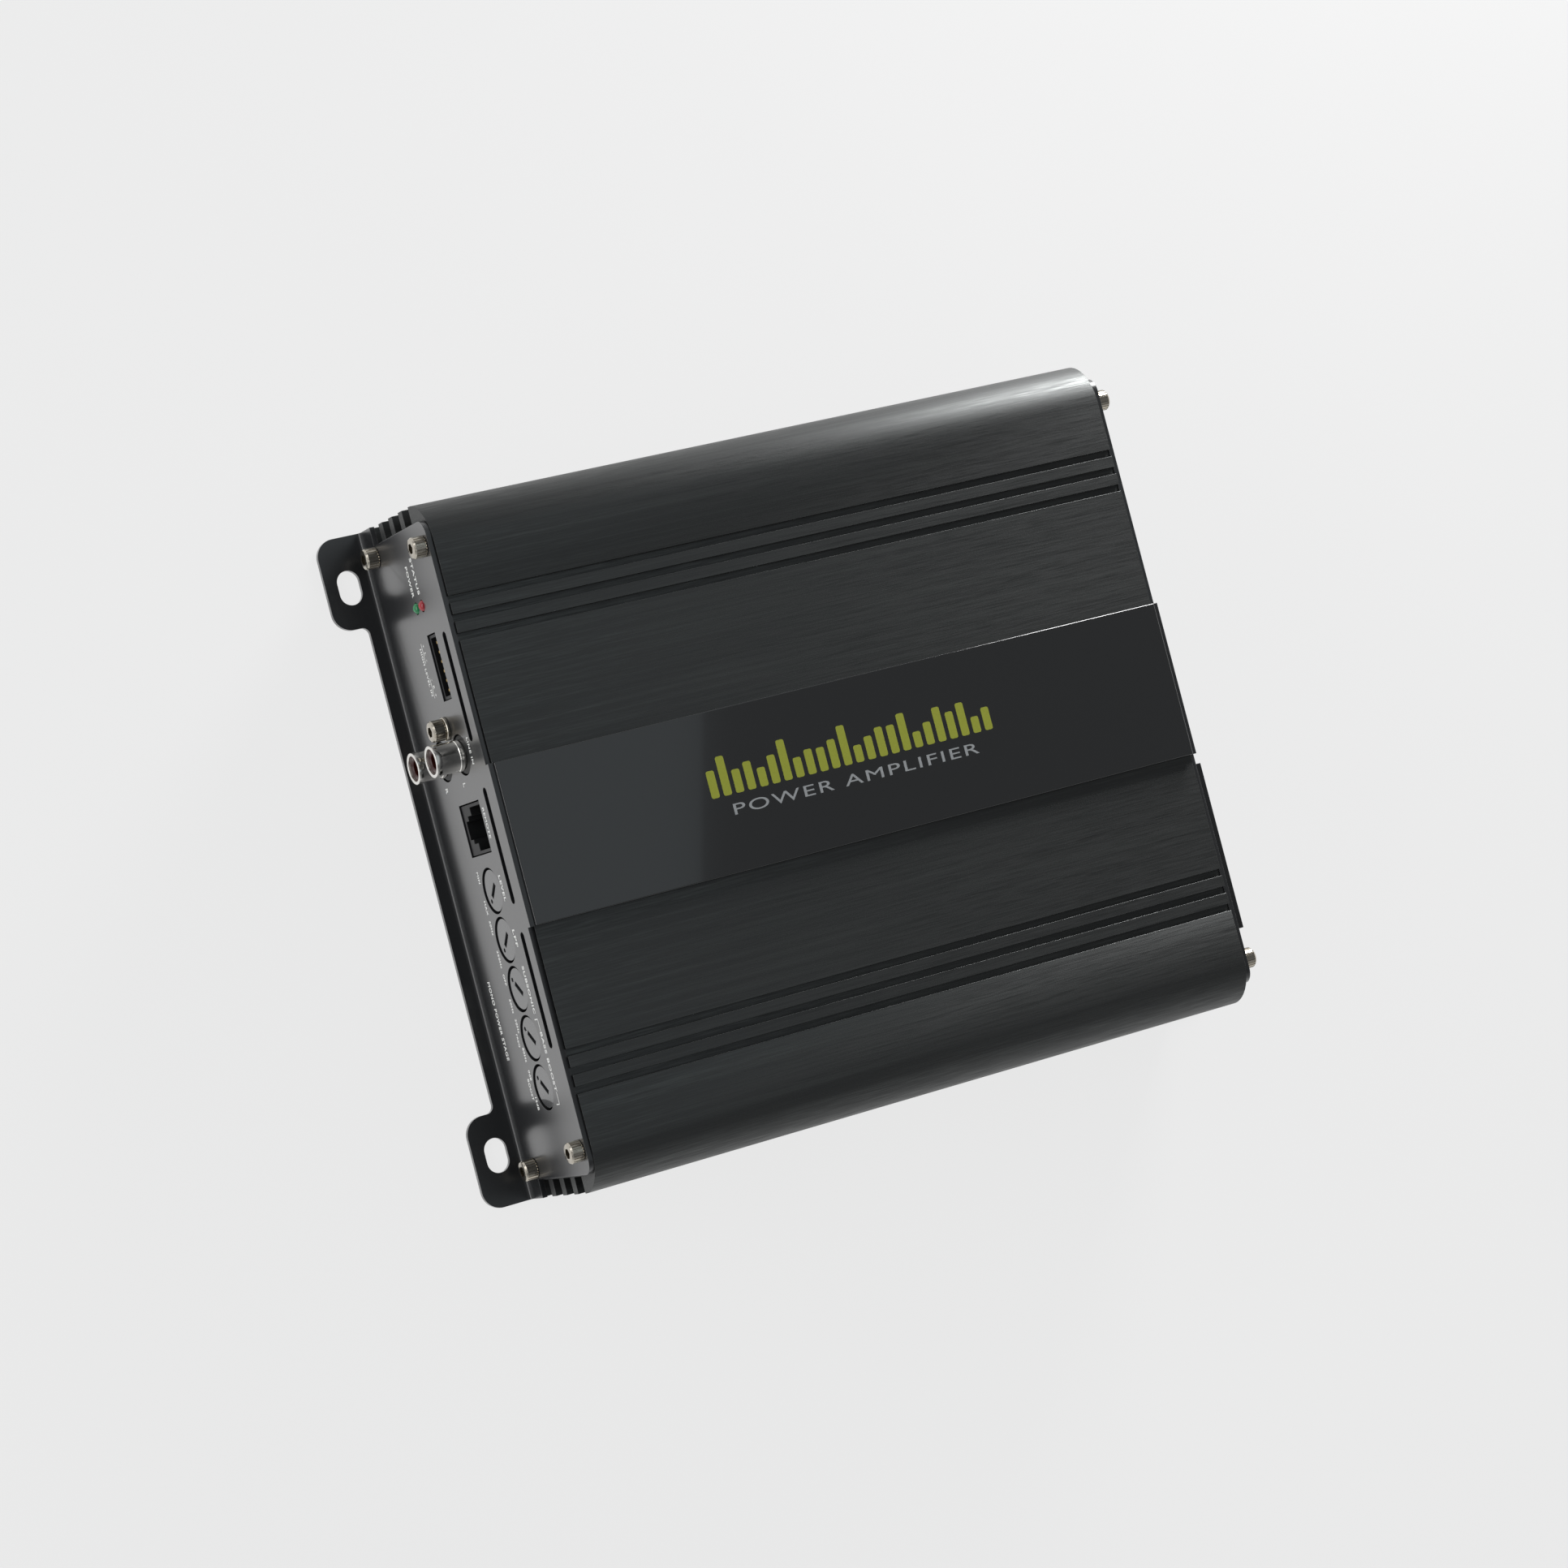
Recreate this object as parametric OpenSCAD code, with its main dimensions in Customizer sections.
// Car amplifier with an extruded heat sink case and bent end panels.
// X runs across the case, Y along the extrusion and Z up.
// The control panel faces -Y and the power panel faces +Y.
// The origin is the bottom centre of the whole part.

/* [Heat sink] */
// Width across the fin tips
body_w = 180; // [176:1:190]
// Length of the extrusion
body_l = 196.5; // [190:0.5:240]
// Height of the flat top
top_z = 49.4; // [49:0.1:54]
// Thickness of the top wall
top_wall = 5; // [4:0.5:7]
// Thickness of the side walls behind the fins
side_wall = 6.5; // [5.5:0.5:8]
// Radius of the long upper edges
shoulder_r = 12; // [8:0.5:13]
// How far the side fins stand out
fin_depth = 4.5; // [3:0.5:5]
// Thickness of a side fin
fin_t = 3; // [2:0.5:4]
// Distance from one fin to the next
fin_pitch = 8; // [7:0.5:8]
// Width of a groove in the top
groove_w = 1.9; // [1:0.1:3]
// Depth of a groove in the top
groove_d = 1.2; // [0.5:0.1:2]
// Distance from one groove to the next
groove_pitch = 4.87; // [4:0.01:6]

/* [Trim plate] */
// Width of the glossy centre plate
trim_w = 42.3; // [30:0.1:60]
// How far the centre plate stands above the flat top
trim_rise = 1.7; // [0.5:0.1:2.5]
// Depth of the recess that holds the centre plate
trim_recess = 0.6; // [0.3:0.1:1]

/* [End panels] */
// Thickness of the panel sheet
sheet_t = 1.4; // [1:0.1:2]
// Height of the panel
panel_h = 48.6; // [48:0.1:49]
// How far the bottom flange reaches from the extrusion's end
flange_y = 5.45; // [4:0.05:7]
// How far the mounting ears reach from the extrusion's end
ear_y = 14.3; // [12:0.1:18]
// Width of a mounting ear
ear_w = 24.5; // [20:0.5:30]
// Radius of an ear's outer corners
ear_r = 5; // [2:0.5:6]
// Width of the slot in an ear
slot_w = 6.2; // [4:0.1:6.4]
// Length of the slot in an ear, end to end
slot_l = 9.2; // [7:0.1:12]
// Height of the wide strip at the panel's foot
strip_h = 9.6; // [8:0.1:12]

/* [Controls] */
// Diameter of a control disc
disc_d = 11; // [9:0.5:11.2]
// Diameter of the hole round a control disc
disc_hole_d = 12.2; // [11.6:0.1:12.4]
// Distance from one control to the next
control_pitch = 12.93; // [12.6:0.01:13]
// Travel of a control from one end to the other, in degrees
control_travel = 280; // [200:10:300]

/* [Fuses] */
// Number of blade fuses
fuse_count = 3; // [3:1:3]
// Distance from one fuse to the next
fuse_pitch = 11; // [10:0.5:11]

/* [Hidden] */
$fn = 48;

// Planes of the case
half_w = body_w / 2;
end_y = body_l / 2;
face_y = end_y + sheet_t;
wall_x = half_w - fin_depth;
inner_x = wall_x - side_wall;
ceiling_z = top_z - top_wall;
gusset = 8;
overlap = 1;

// Side fins: the slots start above the foot and end below the shoulder
foot_z = 6.5;
slot_top_z = 37;
fin_count = 3;
top_fin_z = slot_top_z - 5 - fin_t;

// Groups of three grooves, counted from the outer one
groove_x = 63.7;
groove_count = 3;

// Groove that holds the bottom cover
cover_t = 1.5;
cover_z = 2.2;
cover_play = 0.1;
cover_lip = 2;

// Fasteners of the M3 size
screw_r = 1.45;
tapped_r = 1.5;
clear_r = 1.7;
cap_head_r = 2.8;
cap_head_h = 3.6;
hex_key = 2.5;
hex_depth = 1.6;
screw_l = 9;
upper_screw = [78.6, 45];
lower_screw = [82, 9.2];
panel_screw_xz = [[-upper_screw[0], upper_screw[1]], upper_screw, [-lower_screw[0], lower_screw[1]],
    lower_screw];

// Panel outline
panel_x = 85;
panel_r = 4;
bend_r = 1;
ear_fillet = 2;
ear_slot_x = 76.5;
ear_slot_y = 7.75;

// Ventilation slots: start and end along X
vents = [[-56.6, -28], [-15.9, 14.4], [21.8, 52]];
vent_z = 43.2;
vent_h = 2.4;

// Boards
board_t = 1.6;
board_z = 8;
board_top = board_z + board_t;
board_x = inner_x - 0.6;
board_front = -84.3;
board_back = 96.5;
input_front = -86.2;
input_x = 72;
input_z = [10.2, 42.5];

// Stacked signal jacks
jack_x = -25.7;
jack_z = [33.6, 19.5];
jack_r = 4.15;
jack_root_r = 3.8;
jack_bore_r = 3.3;
jack_out = 8.5;
jack_base_r = 5.1;
jack_hole_r = 5.4;
boss_setback = 0.3;
insert_bore_r = 2.05;
contact_bore_r = 1.65;
jack_screw_xz = [-33.4, 27.6];
collar_t = 0.9;

// Speaker level header
header_x = [-57.2, -40.3];
header_z = [31.3, 36.8];
header_pins_n = 6;
header_pitch = 2.5;

// Modular remote jack
remote_x = -6.65;
remote_w = 13.2;
remote_z = [22.5, 36.9];
remote_wide = 11.4;
remote_step = 7.2;
remote_key = 4.8;

// Indicator lamps
led_x = -65;
led_z = [28.7, 33.1];
led_r = 1.5;
led_out = 0.9;

// Controls
control_x = 9.75;
control_z = 30.4;
control_recess = 0.35;
disc_t = 2.6;
shaft_r = 3;
shaft_play = 0.05;
pot_w = 11;
full_turn = control_travel / 2;
rest_turn = [full_turn, full_turn, -full_turn, -full_turn, -full_turn];

// Terminals on the power panel
power_x = [24, 71];
power_top = 31;
speaker_x = [-71, -27];
speaker_top = 26;
terminal_out = 11.8;
terminal_in = 15;
entry_z = 19.5;
speaker_entry_z = 18;
power_entries = [[33, 4.4], [47.5, 2.4], [62, 4.4]];
speaker_entries = [[-64, 2.6], [-54, 2.6], [-44, 2.6], [-34, 2.6]];
set_screw_r = 2.4;

// Blade fuses
fuse_x = -1.5;
fuse_z = [12, 31];
fuse_t = 5;
fuse_out = 8;
fuse_in = 3;
holder_x = [fuse_x - 17.5, fuse_x + 17.5];
holder_z = [9.6, 33.4];
blade_w = 5;
blade_t = 0.7;
blade_l = 7;
blade_z = [17, 26];

// Parts on the main board
supply_toroid = [-40, -20];
supply_toroid_r = [9, 13, 23, 27];
supply_toroid_h = [18, 26];
output_choke = [40, -24];
output_choke_r = [6, 9, 16, 19.5];
output_choke_h = [13, 19];
input_cap_r = 8;
input_cap_h = 27;
input_caps = [[14, 18], [32, 18], [14, 36], [32, 36]];
rail_cap_r = 10;
rail_cap_h = 31;
rail_caps = [[-52, 24], [-30, 24], [-52, 46], [-30, 46]];
supply_rows = [-52, -36, -20, -4, 12, 28, 44, 60];
output_rows = [-44, -28, -12, 4, 20, 36];
clamp_rows = [-44, -12, 20, 52];
output_clamp_rows = [-36, -4, 28];
pad_t = 0.3;
device_foot_z = 18;
device_body = [4.5, 10, 10];
device_tab = [1.3, 10, 16];
bar_t = 3;
bar_z = [20, 27];
standoffs = [[-66, -70], [0, -70], [66, -70], [-66, 76], [0, 60], [66, 76]];

// Box between two corners
module block(low, high) {
    translate(low)
        cube(high - low);
}

// Cylinder along Y from one place to another
module rod_y(x, z, y_low, y_high, r) {
    translate([x, y_high, z])
        rotate([90, 0, 0])
            cylinder(h = y_high - y_low, r = r);
}

// Outline in X and Z pushed along Y
module push_y(y_low, y_high) {
    translate([0, y_high, 0])
        rotate([90, 0, 0])
            linear_extrude(y_high - y_low)
                children();
}

// The same shape at +X and, mirrored, at -X
module both_sides() {
    children();
    mirror([1, 0, 0])
        children();
}

// Rectangle with round ends along X
module long_slot(x_low, x_high, width) {
    r = width / 2;
    translate([x_low + r, -r])
        square([x_high - x_low - width, width]);
    translate([x_low + r, 0])
        circle(r);
    translate([x_high - r, 0])
        circle(r);
}

// ---- Case ----

module heatsink_outline() {
    difference() {
        translate([-half_w, 0])
            square([body_w, top_z]);
        both_sides()
            shoulder_waste();
        polygon([[-inner_x, -overlap], [-inner_x, ceiling_z - gusset], [-inner_x + gusset, ceiling_z],
            [inner_x - gusset, ceiling_z], [inner_x, ceiling_z - gusset], [inner_x, -overlap]]);
        both_sides()
            fin_gaps();
        both_sides()
            top_grooves();
        both_sides()
            translate([inner_x - overlap, cover_z - cover_play])
                square([cover_lip + overlap + cover_play, cover_t + 2 * cover_play]);
        translate([-trim_w / 2, top_z - trim_recess])
            square([trim_w, trim_recess + overlap]);
    }
}

// What a square corner has outside its rounded shoulder
module shoulder_waste() {
    translate([half_w - shoulder_r, top_z - shoulder_r])
        difference() {
            square(shoulder_r + overlap);
            circle(shoulder_r, $fn = 96);
        }
}

module fin_gaps() {
    difference() {
        translate([wall_x, foot_z])
            square([fin_depth + overlap, slot_top_z - foot_z]);
        for (i = [0:fin_count - 1])
            translate([wall_x - overlap, top_fin_z - i * fin_pitch])
                square([fin_depth + 3 * overlap, fin_t]);
    }
}

module top_grooves() {
    for (i = [0:groove_count - 1])
        translate([groove_x - i * groove_pitch - groove_w / 2, top_z - groove_d])
            square([groove_w, groove_d + overlap]);
}

module heatsink() {
    color([0.12, 0.12, 0.13])
        difference() {
            push_y(-end_y, end_y)
                heatsink_outline();
            for (place = panel_screw_xz) {
                rod_y(place[0], place[1], -end_y - overlap, -end_y + screw_l + overlap, tapped_r);
                rod_y(place[0], place[1], end_y - screw_l - overlap, end_y + overlap, tapped_r);
            }
            for (y = clamp_rows)
                clamp_hole(-inner_x, y);
            for (y = output_clamp_rows)
                clamp_hole(inner_x, y);
        }
}

module clamp_hole(x, y) {
    translate([x, y, clamp_z()])
        rotate([0, 90, 0])
            cylinder(h = 10, r = tapped_r, center = true);
}

function clamp_z() = (bar_z[0] + bar_z[1]) / 2;

module centre_trim_plate() {
    color([0.05, 0.05, 0.055])
        block([-trim_w / 2, -end_y, top_z - trim_recess], [trim_w / 2, end_y, top_z + trim_rise]);
}

module bottom_cover() {
    reach = inner_x + cover_lip;
    color([0.3, 0.3, 0.31])
        difference() {
            block([-reach, -end_y, cover_z], [reach, end_y, cover_z + cover_t]);
            for (place = standoffs)
                translate([place[0], place[1], 0])
                    cylinder(h = board_z, r = spigot_r());
        }
}

function spigot_r() = 2.1;

module ear_outline() {
    ear_in = half_w - ear_w;
    difference() {
        union() {
            translate([ear_in, -ear_y + ear_r])
                square([ear_w, ear_y - sheet_t - bend_r - ear_r]);
            translate([ear_in + ear_r, -ear_y])
                square([ear_w - 2 * ear_r, ear_r + overlap]);
            for (x = [ear_in + ear_r, half_w - ear_r])
                translate([x, -ear_y + ear_r])
                    circle(ear_r);
            translate([ear_in - ear_fillet, -flange_y - ear_fillet])
                square([ear_fillet, ear_fillet]);
        }
        translate([ear_in - ear_fillet, -flange_y - ear_fillet])
            circle(ear_fillet);
    }
}

module panel_outline() {
    bend_z = sheet_t + bend_r;
    translate([-panel_x, bend_z])
        square([2 * panel_x, panel_h - panel_r - bend_z]);
    translate([-panel_x + panel_r, panel_h - panel_r - overlap])
        square([2 * (panel_x - panel_r), panel_r + overlap]);
    both_sides()
        translate([panel_x - panel_r, panel_h - panel_r])
            circle(panel_r);
    translate([-trim_w / 2, panel_h - overlap])
        square([trim_w, trim_rise + overlap]);
    translate([-half_w, bend_z])
        square([body_w, strip_h - bend_z]);
}

// Upright sheet, quarter-round bend, flange and two slotted ears, at the -Y end
module end_sheet() {
    bend_z = sheet_t + bend_r;
    bend_y = -end_y - bend_z;
    push_y(-face_y, -end_y)
        difference() {
            panel_outline();
            children();
        }
    difference() {
        intersection() {
            translate([0, bend_y, bend_z])
                rotate([0, 90, 0])
                    cylinder(h = body_w, r = bend_z, center = true);
            block([-half_w, bend_y, 0], [half_w, -end_y, bend_z]);
        }
        translate([0, bend_y, bend_z])
            rotate([0, 90, 0])
                cylinder(h = body_w + 2, r = bend_r, center = true);
    }
    difference() {
        union() {
            block([-half_w, -end_y - flange_y, 0], [half_w, bend_y, sheet_t]);
            both_sides()
                translate([0, -end_y, 0])
                    linear_extrude(sheet_t)
                        ear_outline();
        }
        both_sides()
            translate([ear_slot_x, -end_y - ear_slot_y, -overlap])
                linear_extrude(sheet_t + 2 * overlap)
                    long_slot(-slot_l / 2, slot_l / 2, slot_w);
    }
}

module panel_common_holes() {
    for (place = panel_screw_xz)
        translate(place)
            circle(clear_r);
    for (span = vents)
        translate([0, vent_z])
            long_slot(span[0], span[1], vent_h);
}

module front_panel() {
    gap = 0.25;
    color([0.1, 0.1, 0.11])
        end_sheet() {
            union() {
                panel_common_holes();
                translate(jack_screw_xz)
                    circle(clear_r);
                for (z = jack_z)
                    translate([jack_x, z])
                        circle(jack_hole_r);
                for (z = led_z)
                    translate([led_x, z])
                        circle(led_r + 0.1);
                for (i = [0:4])
                    translate([control_x + i * control_pitch, control_z])
                        circle(d = disc_hole_d);
                translate([header_x[0] - gap, header_z[0] - gap])
                    square([header_x[1] - header_x[0] + 2 * gap, header_z[1] - header_z[0] + 2 * gap]);
                translate([remote_x - remote_w / 2 - gap, remote_z[0] - gap])
                    square([remote_w + 2 * gap, remote_z[1] - remote_z[0] + 2 * gap]);
            }
        }
}

module rear_panel() {
    gap = 0.25;
    color([0.1, 0.1, 0.11])
        mirror([0, 1, 0])
            end_sheet() {
                union() {
                    panel_common_holes();
                    translate([power_x[0] - gap, board_top - gap])
                        square([power_x[1] - power_x[0] + 2 * gap, power_top - board_top + 2 * gap]);
                    translate([speaker_x[0] - gap, board_top - gap])
                        square([speaker_x[1] - speaker_x[0] + 2 * gap, speaker_top - board_top + 2 * gap]);
                    translate([holder_x[0] - gap, holder_z[0] - gap])
                        square([holder_x[1] - holder_x[0] + 2 * gap, holder_z[1] - holder_z[0] + 2 * gap]);
                }
            }
}

// ---- Fasteners ----

// Socket head cap screw along Y; its head's underside is at Y = 0 and faces +Y
module cap_screw(length) {
    difference() {
        union() {
            rod_y(0, 0, -cap_head_h, 0, cap_head_r);
            rod_y(0, 0, -overlap, length, screw_r);
        }
        translate([0, -cap_head_h + hex_depth, 0])
            rotate([90, 0, 0])
                cylinder(h = hex_depth + overlap, d = hex_key / cos(30), $fn = 6);
    }
}

module panel_screws() {
    color([0.75, 0.72, 0.68])
        for (turn = [0, 180])
            rotate([0, 0, turn])
                for (place = panel_screw_xz)
                    translate([place[0], -face_y, place[1]])
                        cap_screw(screw_l);
}

module jack_screw() {
    color([0.75, 0.72, 0.68])
        translate([jack_screw_xz[0], -face_y - collar_t, jack_screw_xz[1]])
            cap_screw(screw_l);
}

module jack_screw_collar() {
    color([0.7, 0.68, 0.64])
        translate([jack_screw_xz[0], 0, jack_screw_xz[1]])
            difference() {
                rod_y(0, 0, -face_y - collar_t, -face_y, 3.1);
                rod_y(0, 0, -face_y - collar_t - overlap, -face_y + overlap, clear_r);
            }
}

module board_standoffs() {
    across_flats = 5.5;
    color([0.8, 0.66, 0.35])
        for (place = standoffs)
            translate([place[0], place[1], cover_z])
                difference() {
                    union() {
                        cylinder(h = cover_t, r = spigot_r());
                        translate([0, 0, cover_t])
                            cylinder(h = board_z - cover_z - cover_t, d = across_flats / cos(30), $fn = 6);
                    }
                    translate([0, 0, -overlap])
                        cylinder(h = board_z, r = tapped_r);
                }
}

module board_screws() {
    head_r = 2.8;
    head_h = 1.9;
    cross = [3.2, 0.7, 1.2];
    color([0.75, 0.75, 0.77])
        for (place = standoffs)
            translate([place[0], place[1], board_top])
                difference() {
                    union() {
                        cylinder(h = head_h, r = head_r);
                        translate([0, 0, -5])
                            cylinder(h = 5 + overlap, r = screw_r);
                    }
                    for (turn = [0, 90])
                        rotate([0, 0, turn])
                            translate([0, 0, head_h])
                                cube(cross, center = true);
                }
}

// ---- Boards and the parts on them ----

module main_board() {
    color([0.05, 0.3, 0.15])
        difference() {
            block([-board_x, board_front, board_z], [board_x, board_back, board_top]);
            for (place = standoffs)
                translate([place[0], place[1], 0])
                    cylinder(h = 20, r = clear_r);
        }
}

module input_board() {
    color([0.05, 0.3, 0.15])
        block([-input_x, input_front, input_z[0]], [input_x, input_front + board_t, input_z[1]]);
}

// Pin strip in the corner between the two boards
module board_link() {
    back = input_front + board_t;
    strip = [50, 2.5, 3.2];
    pin_pitch = 2.54;
    color([0.1, 0.1, 0.1])
        translate([-strip[0] / 2, back, board_top])
            cube(strip);
    color([0.85, 0.7, 0.3])
        for (i = [-9:9])
            translate([i * pin_pitch, back + strip[1], board_top])
                block([-0.3, 0, 0], [0.3, 3, 0.6]);
}

// Ring of square section with its axis along Z
module ring(r_in, r_out, height) {
    difference() {
        cylinder(h = height, r = r_out, $fn = 96);
        translate([0, 0, -overlap])
            cylinder(h = height + 2 * overlap, r = r_in, $fn = 96);
    }
}

// Winding wrapped round a ring core; bands of wire leave gaps between them
module winding(radii, heights, gap_count) {
    wire = (heights[1] - heights[0]) / 2;
    difference() {
        ring(radii[0], radii[3], heights[1]);
        translate([0, 0, wire])
            ring(radii[1], radii[2], heights[0]);
        for (i = [0:gap_count - 1])
            rotate([0, 0, i * 360 / gap_count])
                block([0, -wire / 4, -overlap], [radii[3] + overlap, wire / 4, heights[1] + overlap]);
    }
}

module toroid_core(place, radii, heights) {
    wire = (heights[1] - heights[0]) / 2;
    translate([place[0], place[1], board_top + wire])
        ring(radii[1], radii[2], heights[0]);
}

module supply_toroid_core() {
    color([0.15, 0.35, 0.2])
        toroid_core(supply_toroid, supply_toroid_r, supply_toroid_h);
}

module supply_toroid_winding() {
    color([0.75, 0.4, 0.2])
        translate([supply_toroid[0], supply_toroid[1], board_top])
            winding(supply_toroid_r, supply_toroid_h, 12);
}

module output_choke_core() {
    color([0.8, 0.75, 0.3])
        toroid_core(output_choke, output_choke_r, output_choke_h);
}

module output_choke_winding() {
    color([0.75, 0.4, 0.2])
        translate([output_choke[0], output_choke[1], board_top])
            winding(output_choke_r, output_choke_h, 8);
}

// Electrolytic can with a crimp groove and a scored top
module capacitor(r, height) {
    translate([0, 0, board_top])
        difference() {
            cylinder(h = height, r = r);
            translate([0, 0, 2.5])
                ring(r - 0.5, r + overlap, 1);
            for (turn = [0, 90])
                rotate([0, 0, turn])
                    translate([0, 0, height])
                        cube([1.4 * r, 0.5, 0.6], center = true);
        }
}

module input_capacitors() {
    color([0.15, 0.2, 0.4])
        for (place = input_caps)
            translate(place)
                capacitor(input_cap_r, input_cap_h);
}

module rail_capacitors() {
    color([0.1, 0.1, 0.12])
        for (place = rail_caps)
            translate(place)
                capacitor(rail_cap_r, rail_cap_h);
}

// Power transistor that stands against the -X wall, with three legs to the board
module transistor(y) {
    back = -inner_x + pad_t;
    half = device_body[1] / 2;
    leg = [0.5, 0.8];
    translate([back, y, device_foot_z])
        difference() {
            union() {
                block([0, -half, 0], [device_body[0], half, device_body[2]]);
                block([0, -half, 0], [device_tab[0], half, device_tab[2]]);
                for (i = [-1:1])
                    translate([2.4, i * 2.54, board_top - device_foot_z])
                        block([-leg[0] / 2, -leg[1] / 2, 0],
                            [leg[0] / 2, leg[1] / 2, device_foot_z - board_top + overlap]);
            }
            translate([0, 0, 13])
                rotate([0, 90, 0])
                    cylinder(h = 8, r = 1.8, center = true);
        }
}

module supply_transistors() {
    color([0.08, 0.08, 0.08])
        for (y = supply_rows)
            transistor(y);
}

module output_transistors() {
    color([0.08, 0.08, 0.08])
        mirror([1, 0, 0])
            for (y = output_rows)
                transistor(y);
}

// Insulating strip between the transistors and a wall
module thermal_strip(rows, holes) {
    margin = 7;
    last = len(rows) - 1;
    difference() {
        block([-inner_x, rows[0] - margin, device_foot_z - 1],
            [-inner_x + pad_t, rows[last] + margin, device_foot_z + device_tab[2] + 1]);
        for (y = holes)
            translate([-inner_x, y, clamp_z()])
                rotate([0, 90, 0])
                    cylinder(h = 4, r = clear_r, center = true);
    }
}

module thermal_pads() {
    color([0.6, 0.6, 0.65]) {
        thermal_strip(supply_rows, clamp_rows);
        mirror([1, 0, 0])
            thermal_strip(output_rows, output_clamp_rows);
    }
}

// Steel bar that presses the row of transistors to the -X wall
module clamp_bar(rows, holes) {
    margin = 6;
    x_low = -inner_x + pad_t + device_body[0];
    last = len(rows) - 1;
    difference() {
        block([x_low, rows[0] - margin, bar_z[0]], [x_low + bar_t, rows[last] + margin, bar_z[1]]);
        for (y = holes)
            translate([x_low, y, clamp_z()])
                rotate([0, 90, 0])
                    cylinder(h = 4 * bar_t, r = clear_r, center = true);
    }
}

module clamp_bar_left() {
    color([0.6, 0.6, 0.62])
        clamp_bar(supply_rows, clamp_rows);
}

module clamp_bar_right() {
    color([0.6, 0.6, 0.62])
        mirror([1, 0, 0])
            clamp_bar(output_rows, output_clamp_rows);
}

module clamp_screw(y) {
    head_x = -inner_x + pad_t + device_body[0] + bar_t;
    head_r = 2.7;
    head_h = 2.4;
    translate([head_x, y, clamp_z()])
        rotate([0, 90, 0])
            difference() {
                union() {
                    cylinder(h = head_h, r = head_r);
                    translate([0, 0, -11.5])
                        cylinder(h = 11.5 + overlap, r = screw_r);
                }
                translate([0, 0, head_h])
                    cylinder(h = 2.6, d = hex_key / cos(30), center = true, $fn = 6);
            }
}

module clamp_screws() {
    color([0.7, 0.7, 0.7]) {
        for (y = clamp_rows)
            clamp_screw(y);
        mirror([1, 0, 0])
            for (y = output_clamp_rows)
                clamp_screw(y);
    }
}

// ---- Connectors on the control panel ----

module rca_housing() {
    color([0.08, 0.08, 0.08])
        difference() {
            union() {
                block([-38, -end_y, 12.4], [-19, input_front, 40.8]);
                for (z = jack_z)
                    rod_y(jack_x, z, -face_y + boss_setback, -end_y + overlap, jack_base_r);
            }
            for (z = jack_z)
                rod_y(jack_x, z, -face_y - overlap, -end_y + 10, jack_root_r);
            rod_y(jack_screw_xz[0], jack_screw_xz[1], -end_y - overlap, input_front - 2, tapped_r);
        }
}

// Plated barrel with a chamfered mouth and a narrower root inside the housing
module rca_shell(z) {
    length = sheet_t + jack_out + 9.5;
    barrel_l = jack_out + boss_setback;
    chamfer = 0.5;
    translate([jack_x, -face_y - jack_out, z])
        rotate([-90, 0, 0])
            difference() {
                union() {
                    cylinder(h = chamfer, r1 = jack_r - chamfer, r2 = jack_r);
                    translate([0, 0, chamfer])
                        cylinder(h = barrel_l - chamfer, r = jack_r);
                    translate([0, 0, barrel_l - overlap])
                        cylinder(h = length - barrel_l + overlap, r = jack_root_r);
                }
                translate([0, 0, -overlap])
                    cylinder(h = length + 2 * overlap, r = jack_bore_r);
            }
}

module rca_shell_upper() {
    color([0.8, 0.8, 0.82])
        rca_shell(jack_z[0]);
}

module rca_shell_lower() {
    color([0.8, 0.8, 0.82])
        rca_shell(jack_z[1]);
}

// Moulded insulator inside a barrel, set back from its mouth
module rca_insert(z) {
    setback = 0.7;
    color([0.3, 0.1, 0.09])
        difference() {
            rod_y(jack_x, z, -face_y - jack_out + setback, -end_y + 9.5, jack_bore_r);
            rod_y(jack_x, z, -face_y - jack_out - overlap, -end_y + 11, insert_bore_r);
        }
}

module rca_insert_upper() {
    rca_insert(jack_z[0]);
}

module rca_insert_lower() {
    rca_insert(jack_z[1]);
}

module rca_contacts() {
    setback = 2.2;
    color([0.85, 0.7, 0.35])
        for (z = jack_z)
            difference() {
                rod_y(jack_x, z, -face_y - jack_out + setback, -end_y + 9.5, insert_bore_r);
                rod_y(jack_x, z, -face_y - jack_out - overlap, -end_y + 8, contact_bore_r);
            }
}

module speaker_input_header() {
    wall = 0.8;
    floor_y = input_front - 2.5;
    rib = [0.9, 10.2, 1.1];
    color([0.06, 0.06, 0.06])
        difference() {
            union() {
                difference() {
                    block([header_x[0], -face_y + 0.4, header_z[0]], [header_x[1], input_front, header_z[1]]);
                    block([header_x[0] + wall, -face_y - overlap, header_z[0] + wall],
                        [header_x[1] - wall, floor_y, header_z[1] - wall]);
                }
                for (i = [0:header_pins_n - 2])
                    translate([header_mid() + (i - header_pins_n / 2 + 1) * header_pitch,
                        floor_y - rib[1], header_z[1] - wall - rib[2]])
                        block([-rib[0] / 2, 0, 0], [rib[0] / 2, rib[1] + overlap, rib[2] + overlap / 2]);
            }
            header_pin_set(-overlap);
        }
}

function header_mid() = (header_x[0] + header_x[1]) / 2;

module header_pin_set(extra) {
    half = 0.32;
    mid_z = (header_z[0] + header_z[1]) / 2;
    for (i = [0:header_pins_n - 1])
        translate([header_mid() + (i - (header_pins_n - 1) / 2) * header_pitch, 0, mid_z])
            block([-half, input_front - 12.4, -half], [half, input_front - extra, half]);
}

module header_pins() {
    color([0.85, 0.75, 0.4])
        header_pin_set(0);
}

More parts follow.
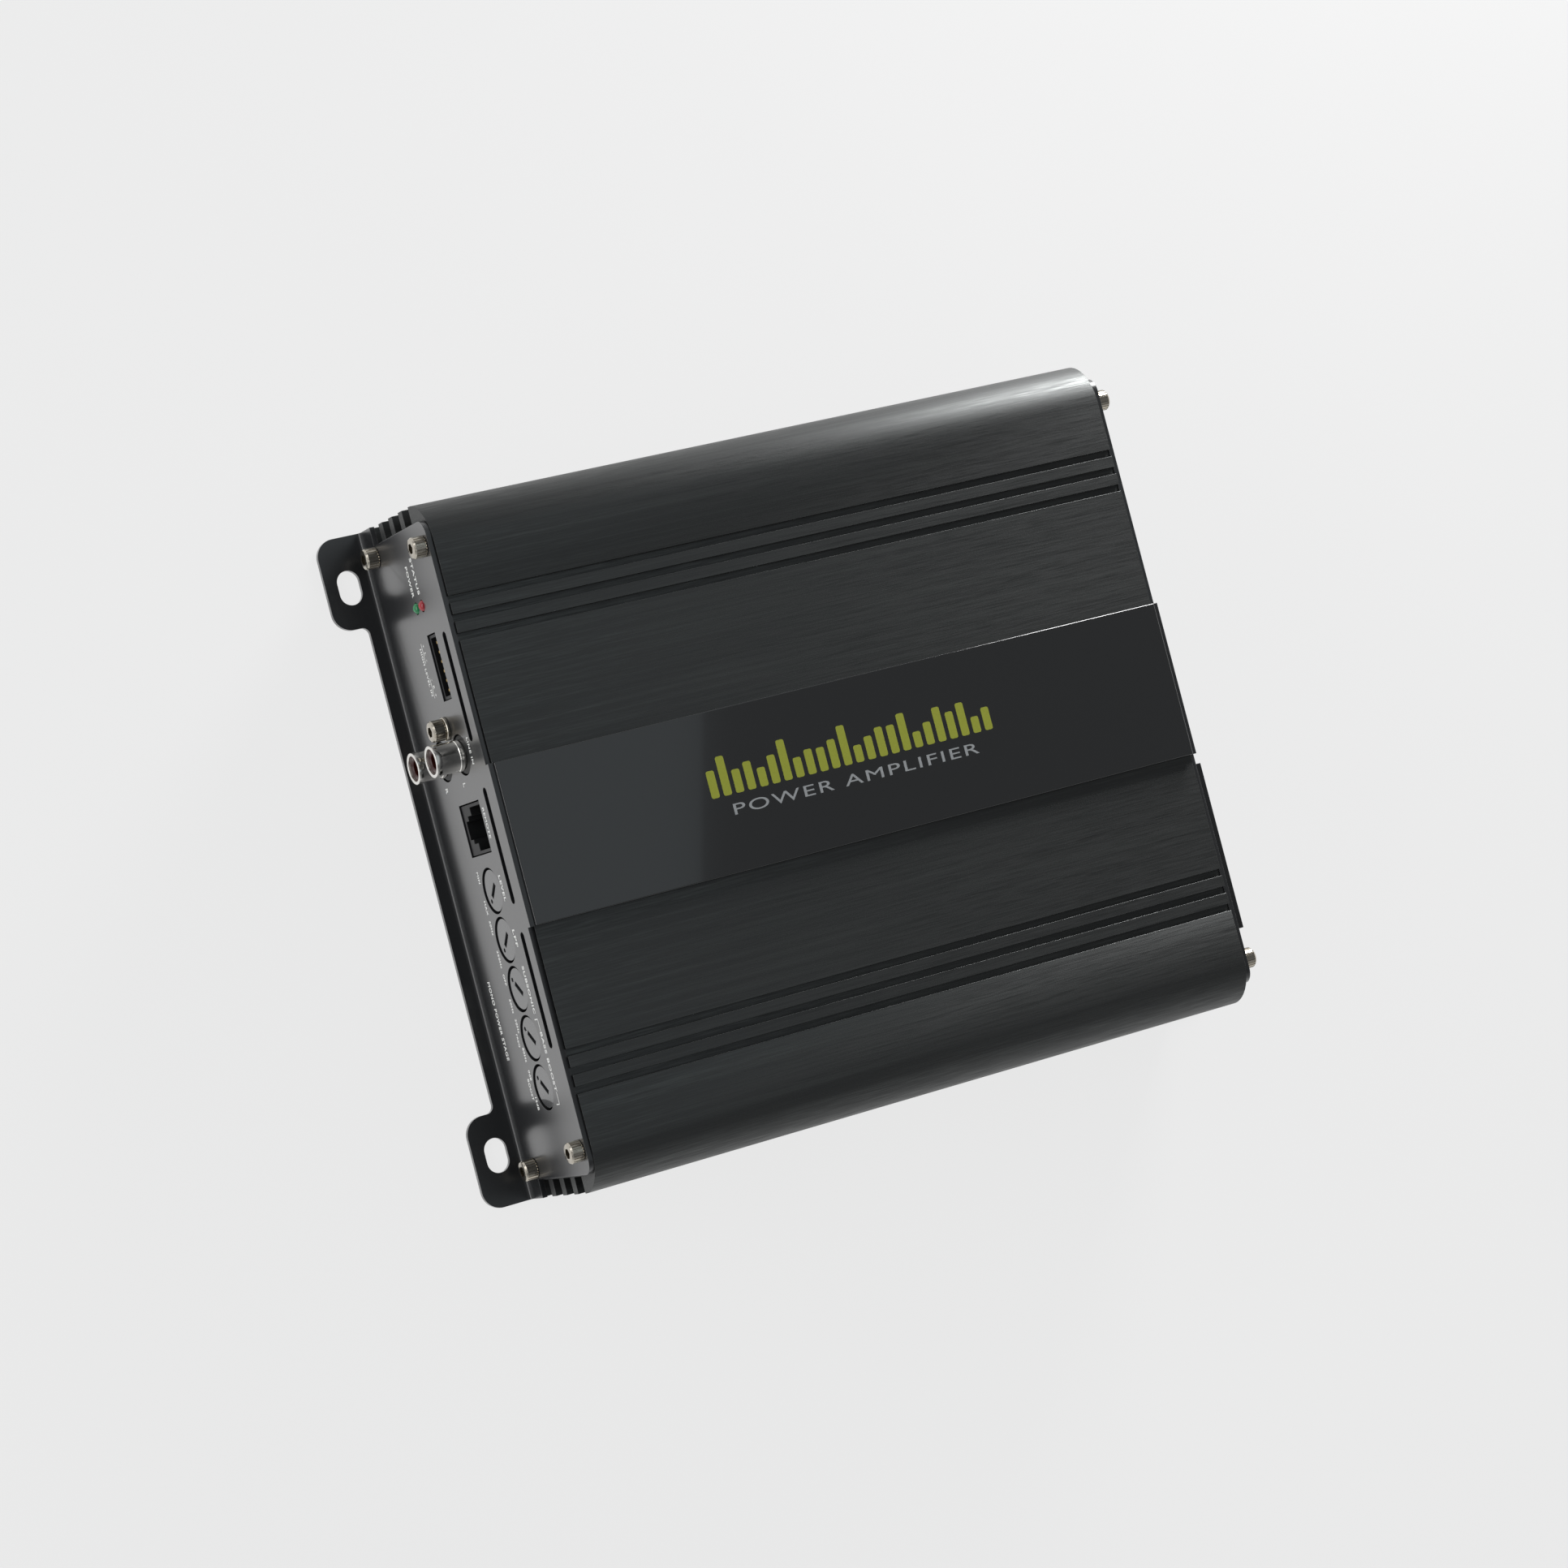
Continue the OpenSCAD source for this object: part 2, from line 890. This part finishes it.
module remote_jack() {
    back = input_front - 2;
    top = remote_z[1] - 0.8;
    step_z = [28.4, 25.6, 23.7];
    widths = [remote_wide, remote_step, remote_key];
    color([0.1, 0.1, 0.1])
        difference() {
            block([remote_x - remote_w / 2, -face_y + 0.4, remote_z[0]],
                [remote_x + remote_w / 2, input_front, remote_z[1]]);
            for (i = [0:2])
                block([remote_x - widths[i] / 2, -face_y - overlap, step_z[i]],
                    [remote_x + widths[i] / 2, back, top]);
        }
}

module remote_jack_contacts() {
    back = input_front - 2;
    wire = 0.35;
    pitch = 1.02;
    top = remote_z[1] - 0.8;
    color([0.85, 0.7, 0.35])
        for (i = [0:7])
            translate([remote_x + (i - 3.5) * pitch, 0, 0]) {
                block([-wire / 2, back - wire, top - 4], [wire / 2, back, top]);
                block([-wire / 2, back - 8, top - wire], [wire / 2, back, top]);
            }
}

// Round lamp with a dome, a rim behind the panel and two legs
module led(z, shade) {
    rim_r = 1.8;
    leg = 0.22;
    dome_y = -face_y - led_out + led_r;
    color(shade)
        translate([led_x, 0, z]) {
            rod_y(0, 0, dome_y, -end_y + 2, led_r);
            translate([0, dome_y, 0])
                sphere(led_r);
            rod_y(0, 0, -end_y, -end_y + 1, rim_r);
            for (x = [-1.1, 1.1])
                rod_y(x, 0, -end_y + 0.5, input_front, leg);
        }
}

module green_led() {
    led(led_z[0], [0.1, 0.6, 0.3]);
}

module red_led() {
    led(led_z[1], [0.75, 0.05, 0.08]);
}

// Rotary control: the body and its bush stay, the disc and its shaft turn
module pot_body(index) {
    x = control_x + (index - 1) * control_pitch;
    color([0.12, 0.25, 0.45])
        translate([x, 0, control_z])
            difference() {
                union() {
                    block([-pot_w / 2, input_front - 6.8, -pot_w / 2], [pot_w / 2, input_front, pot_w / 2]);
                    rod_y(0, 0, input_front - 8.8, input_front - 5, 4.4);
                }
                rod_y(0, 0, input_front - 10, input_front - 1.5, shaft_r + shaft_play);
            }
}

module control_disc(index) {
    x = control_x + (index - 1) * control_pitch;
    front = -face_y + control_recess;
    groove = [1.3, 1.1, 4.8];
    dot_r = 0.55;
    color([0.35, 0.35, 0.36])
        translate([x, 0, control_z])
            rotate([0, rest_turn[index - 1], 0])
                difference() {
                    union() {
                        rod_y(0, 0, front, front + disc_t, disc_d / 2);
                        rod_y(0, 0, front + disc_t - overlap, input_front - 1.7, shaft_r);
                    }
                    translate([-groove[0] / 2, front - overlap, -groove[2] / 2])
                        cube([groove[0], groove[1] + overlap, groove[2]]);
                    rod_y(0, 4, front - overlap, front + 0.6, dot_r);
                }
}

// ---- Connectors on the power panel ----

// Moulded block with round cable entries at the back and screw wells on top
module terminal_housing(x_span, top, place_z, entries) {
    back = face_y + terminal_out;
    front = face_y - terminal_in;
    color([0.06, 0.06, 0.06])
        difference() {
            block([x_span[0], front, board_top], [x_span[1], back, top]);
            for (entry = entries)
                terminal_cavity(entry, place_z, top, back);
        }
}

module terminal_cavity(entry, place_z, top, back) {
    half = sleeve_half(entry[1]);
    rod_y(entry[0], place_z, back - 6, back + overlap, entry[1] + 0.4);
    block([entry[0] - half, back - sleeve_l() - 2.5, place_z - half],
        [entry[0] + half, back - 2.5, place_z + half]);
    translate([entry[0], back - screw_back(), place_z])
        cylinder(h = top - place_z + overlap, r = set_screw_r + 0.4);
}

function sleeve_half(r) = r + 1.7;
function sleeve_l() = 15;
function screw_back() = 7;

// Metal sleeve with a cable bore and a threaded hole for its set screw
module terminal_sleeve(entry, place_z) {
    back = face_y + terminal_out;
    half = sleeve_half(entry[1]);
    difference() {
        block([entry[0] - half, back - sleeve_l() - 2.5, place_z - half],
            [entry[0] + half, back - 2.5, place_z + half]);
        rod_y(entry[0], place_z, back - sleeve_l() - 2.5 - overlap, back, entry[1]);
        translate([entry[0], back - screw_back(), place_z])
            cylinder(h = half + overlap, r = set_screw_r + 0.05);
    }
}

module power_terminal_housing() {
    terminal_housing(power_x, power_top, entry_z, power_entries);
}

module speaker_terminal_housing() {
    terminal_housing(speaker_x, speaker_top, speaker_entry_z, speaker_entries);
}

module power_terminal_sleeves() {
    color([0.78, 0.78, 0.76])
        for (entry = power_entries)
            terminal_sleeve(entry, entry_z);
}

module speaker_terminal_sleeves() {
    color([0.78, 0.78, 0.76])
        for (entry = speaker_entries)
            terminal_sleeve(entry, speaker_entry_z);
}

// Set screw raised clear of the cable bore
module set_screw(entry, place_z) {
    length = 5;
    translate([entry[0], face_y + terminal_out - screw_back(), place_z + entry[1] + 0.3])
        difference() {
            cylinder(h = length, r = set_screw_r);
            translate([0, 0, length - 2])
                cylinder(h = 2 + overlap, d = hex_key / cos(30), $fn = 6);
        }
}

module terminal_set_screws() {
    color([0.7, 0.7, 0.7]) {
        for (entry = power_entries)
            set_screw(entry, entry_z);
        for (entry = speaker_entries)
            set_screw(entry, speaker_entry_z);
    }
}

function fuse_place(i) = fuse_x + (i - (fuse_count + 1) / 2) * fuse_pitch;

// Pocket and blade slits of one fuse, a little wider than the fuse itself
module fuse_pocket(i) {
    play = 0.25;
    back = face_y + fuse_in;
    translate([fuse_place(i), 0, 0]) {
        block([-fuse_t / 2 - play, face_y - fuse_in - play, fuse_z[0] - play],
            [fuse_t / 2 + play, back + overlap, fuse_z[1] + play]);
        for (z = blade_z)
            block([-1.2, face_y - fuse_in - blade_l - 2, z - blade_w / 2 - play],
                [1.2, back, z + blade_w / 2 + play]);
    }
}

module fuse_holder() {
    color([0.06, 0.06, 0.06])
        difference() {
            block([holder_x[0], face_y - 14, holder_z[0]], [holder_x[1], face_y + fuse_in, holder_z[1]]);
            for (i = [1:fuse_count])
                fuse_pocket(i);
        }
}

// Spring leaves on both sides of every blade
module fuse_contacts() {
    leaf = 0.5;
    reach = blade_t / 2 + 0.15;
    color([0.8, 0.72, 0.5])
        for (i = [1:fuse_count])
            for (z = blade_z)
                for (side = [-1, 1])
                    translate([fuse_place(i) + side * (reach + leaf / 2),
                               face_y - fuse_in - blade_l - 1.5, z])
                        block([-leaf / 2, 0, -blade_w / 2], [leaf / 2, blade_l, blade_w / 2]);
}

// Moulded fuse with two blades and a window recess on each side of the grip
module fuse(i) {
    inner = face_y - fuse_in;
    outer = face_y + fuse_out;
    color([0.2, 0.65, 0.3])
        translate([fuse_place(i), 0, 0])
            difference() {
                union() {
                    block([-fuse_t / 2 + 0.7, inner, fuse_z[0]], [fuse_t / 2 - 0.7, outer, fuse_z[1]]);
                    block([-fuse_t / 2, outer - 4, fuse_z[0]], [fuse_t / 2, outer, fuse_z[1]]);
                    block([-fuse_t / 2, inner, fuse_z[0] + 4], [fuse_t / 2, outer, fuse_z[1] - 4]);
                    for (z = blade_z)
                        block([-blade_t / 2, inner - blade_l, z - blade_w / 2],
                            [blade_t / 2, inner + overlap, z + blade_w / 2]);
                }
                for (z = [fuse_z[0] + 6, fuse_z[1] - 6])
                    rod_y(0, z, outer - 1, outer + overlap, 0.8);
            }
}

heatsink();
centre_trim_plate();
bottom_cover();
front_panel();
rear_panel();
panel_screws();
jack_screw();
jack_screw_collar();
main_board();
input_board();
board_link();
board_standoffs();
board_screws();
supply_toroid_core();
supply_toroid_winding();
output_choke_core();
output_choke_winding();
input_capacitors();
rail_capacitors();
supply_transistors();
output_transistors();
thermal_pads();
clamp_bar_left();
clamp_bar_right();
clamp_screws();
rca_housing();
rca_shell_upper();
rca_shell_lower();
rca_insert_upper();
rca_insert_lower();
rca_contacts();
speaker_input_header();
header_pins();
remote_jack();
remote_jack_contacts();
green_led();
red_led();
pot_body(1);  // pot_body_1
pot_body(2);  // pot_body_2
pot_body(3);  // pot_body_3
pot_body(4);  // pot_body_4
pot_body(5);  // pot_body_5
control_disc(1);  // control_disc_1
control_disc(2);  // control_disc_2
control_disc(3);  // control_disc_3
control_disc(4);  // control_disc_4
control_disc(5);  // control_disc_5
power_terminal_housing();
power_terminal_sleeves();
speaker_terminal_housing();
speaker_terminal_sleeves();
terminal_set_screws();
fuse_holder();
fuse_contacts();
fuse(1);  // fuse_1
fuse(2);  // fuse_2
fuse(3);  // fuse_3
